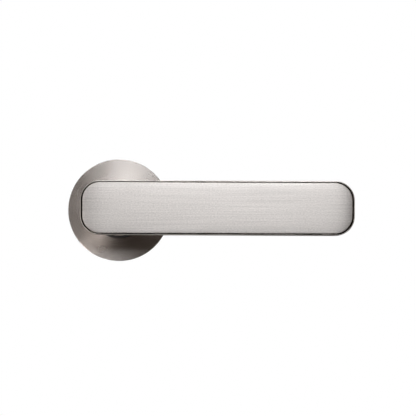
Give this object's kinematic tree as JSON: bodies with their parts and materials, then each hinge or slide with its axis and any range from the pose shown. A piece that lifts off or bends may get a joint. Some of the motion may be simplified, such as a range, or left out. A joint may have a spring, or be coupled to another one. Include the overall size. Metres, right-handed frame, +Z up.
{
  "type": "door lever handle",
  "caption": "Satin steel door lever with a framed flat grip on a round sprung rose, turning an 8 mm square spindle through the door.",
  "frame": {"origin": "where the spindle's axis meets the face of the door, in the plane of the rose's back", "axes": "+X the way the lever points, +Y along the spindle into the door, +Z up"},
  "size_m": [0.1435, 0.1169, 0.052],
  "materials": {
    "face_satin_steel": "satin, brushed along the lever",
    "frame_satin_steel": "satin, brushed along the lever",
    "neck_satin_steel": "satin, turned",
    "rose_satin_steel": "satin, brushed in circles",
    "bush_black_nylon": "matt black nylon",
    "cast_zinc": "tumbled zinc casting",
    "pressed_steel": "plain pressed steel",
    "spring_steel": "oiled spring wire",
    "zinc_plated_steel": "bright zinc plate",
    "black_oxide_steel": "black oxide"
  },
  "bodies": {
    "rose": {"rose_cover": "rose_satin_steel", "bearing_bush": "bush_black_nylon", "sub_rose": "cast_zinc", "back_plate": "pressed_steel", "back_plate_screw_1": "black_oxide_steel", "back_plate_screw_2": "black_oxide_steel", "back_plate_screw_3": "black_oxide_steel", "back_plate_screw_4": "black_oxide_steel", "fixing_screw_1": "zinc_plated_steel", "fixing_screw_2": "zinc_plated_steel", "return_spring_upper": "spring_steel", "return_spring_lower": "spring_steel", "cover_snap_ring": "spring_steel"},
    "lever": {"lever_face_plate": "face_satin_steel", "lever_frame": "frame_satin_steel", "lever_neck": "neck_satin_steel", "spindle": "zinc_plated_steel", "grub_screw": "black_oxide_steel", "neck_screw_1": "black_oxide_steel", "neck_screw_2": "black_oxide_steel", "face_plate_screw_1": "zinc_plated_steel", "face_plate_screw_2": "zinc_plated_steel", "spring_driver": "pressed_steel", "thrust_washer": "pressed_steel", "retaining_washer": "pressed_steel", "circlip": "black_oxide_steel"}
  },
  "joints": [
    {"name": "lever_turn", "type": "hinge", "parent": "rose", "child": "lever", "pos_m": [0, 0, 0], "axis": [0, 1, 0], "range_deg": [0, 45], "stiffness_Nm_per_rad": 1, "springref_deg": -28.65, "deforming": ["return_spring_upper", "return_spring_lower"]}
  ]
}
